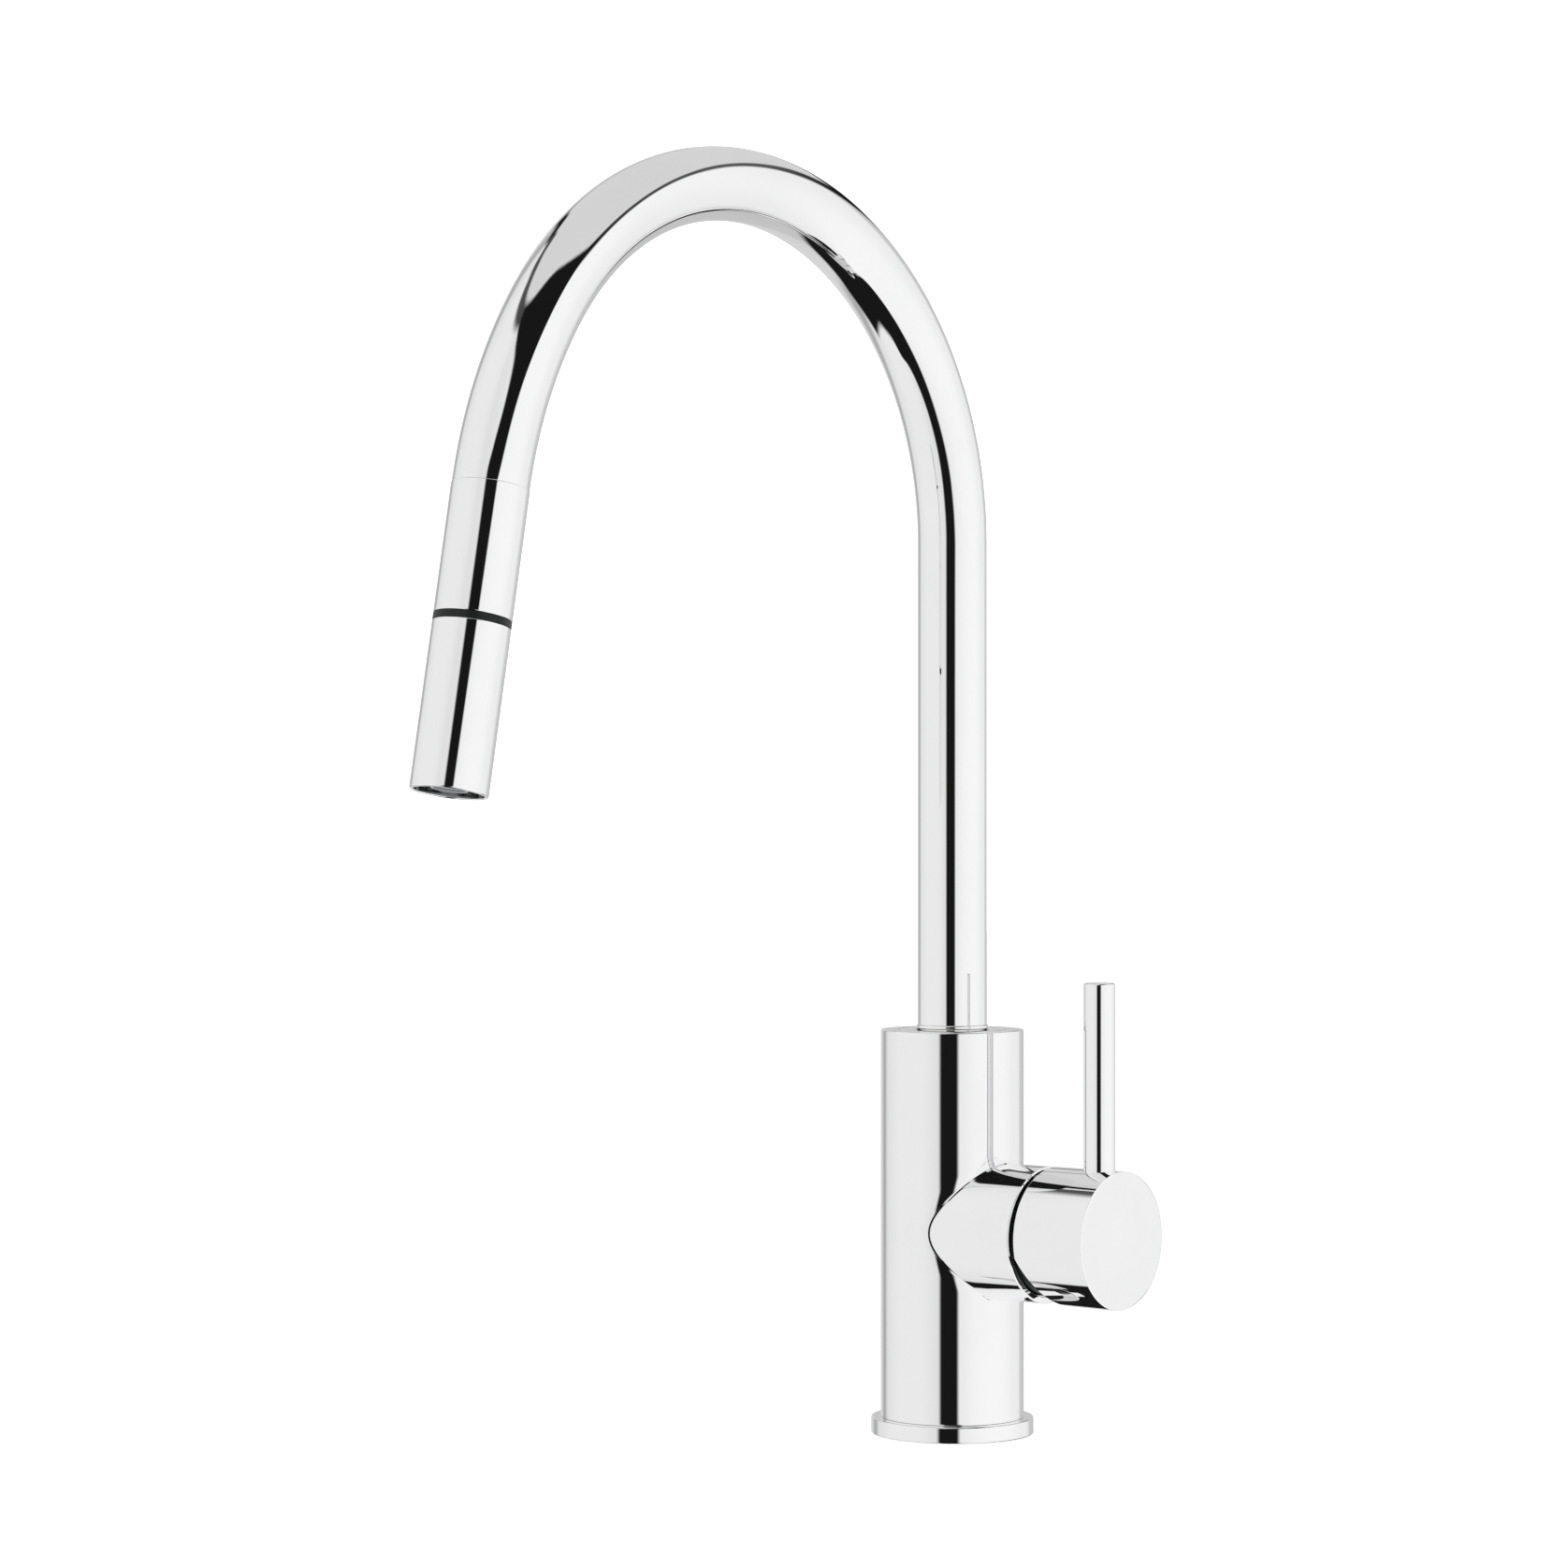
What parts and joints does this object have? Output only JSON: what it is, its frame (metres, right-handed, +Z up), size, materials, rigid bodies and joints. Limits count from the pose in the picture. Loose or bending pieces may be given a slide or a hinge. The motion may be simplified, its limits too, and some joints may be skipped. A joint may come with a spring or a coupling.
{
  "type": "pull down kitchen faucet",
  "caption": "Single-lever pull-down kitchen faucet with a round body, side valve with a pin lever, swivelling gooseneck spout and a two-barrel spray head on a hose.",
  "frame": {"origin": "centre of the base's underside, where it sits on the deck", "axes": "+Z up, +X along the valve barrel towards the lever, -Y towards the spout's outlet"},
  "size_m": [0.1014, 0.2869, 0.4343],
  "materials": {
    "chrome": "polished",
    "brass": "machined",
    "steel": "machined",
    "rubber": "matte",
    "black_plastic": "satin",
    "grey_plastic": "matte",
    "white_plastic": "satin",
    "ceramic": "lapped",
    "braid": "braided nylon"
  },
  "bodies": {
    "body": {"body_shell": "chrome", "gland_nut": "chrome", "thrust_washer": "white_plastic", "base_ring": "chrome", "base_gasket": "rubber", "hot_nipple": "brass", "cold_nipple": "brass", "mixed_nipple": "brass", "port_gasket": "rubber", "cartridge_base": "grey_plastic", "fixed_disc": "ceramic", "cartridge_housing": "grey_plastic", "cartridge_nut": "brass", "cartridge_cover": "black_plastic"},
    "mixer": {"cartridge_carrier": "white_plastic", "pivot_pin": "steel"},
    "disc": {"moving_disc": "ceramic"},
    "handle": {"cartridge_stem": "brass", "handle_cap": "chrome", "lever_pin": "chrome", "handle_screw": "steel"},
    "spout": {"spout_tube": "chrome", "spout_collar": "chrome", "spout_foot": "brass", "spout_oring_upper": "rubber", "spout_oring_lower": "rubber", "hose_guide": "white_plastic", "dock_insert": "white_plastic", "pull_hose": "braid", "hose_coupling": "brass"},
    "spray_head": {"grip_barrel": "chrome", "hose_nut": "brass", "hose_tail": "braid", "inlet_washer": "rubber", "waterway_core": "grey_plastic", "check_valve": "white_plastic", "diverter_disc": "ceramic", "selector_ring": "black_plastic", "selector_seal": "rubber"},
    "nozzle": {"nozzle_barrel": "chrome", "nozzle_core": "grey_plastic", "selector_screw": "steel", "spray_face": "black_plastic", "aerator": "grey_plastic"}
  },
  "joints": [
    {"name": "spout_swivel", "type": "hinge", "parent": "body", "child": "spout", "pos_m": [0, 0, 0.14], "axis": [0, 0, 1], "continuous": true},
    {"name": "head_slide", "type": "slide", "parent": "spout", "child": "spray_head", "axis": [0, -0.1874, -0.9823], "range_m": [0, 0.2], "stiffness_N_per_m": 5, "springref_m": -0.6},
    {"name": "nozzle_twist", "type": "hinge", "parent": "spray_head", "child": "nozzle", "pos_m": [0, -0.22875, 0.31609], "axis": [0, -0.1874, -0.9823], "range_deg": [0, 60]},
    {"name": "mixer_turn", "type": "hinge", "parent": "body", "child": "mixer", "pos_m": [0.04, 0, 0.0715], "axis": [1, 0, 0], "range_deg": [-45, 45]},
    {"name": "lever_lift", "type": "hinge", "parent": "mixer", "child": "handle", "pos_m": [0.04, 0, 0.0715], "axis": [0, 1, 0], "range_deg": [0, 18]},
    {"name": "disc_shift", "type": "slide", "parent": "mixer", "child": "disc", "axis": [0, 0, 1], "range_m": [0, 0.0038]}
  ],
  "couplings": [
    {"joint": "disc_shift", "follows": "lever_lift", "m_per_rad": 0.012}
  ]
}
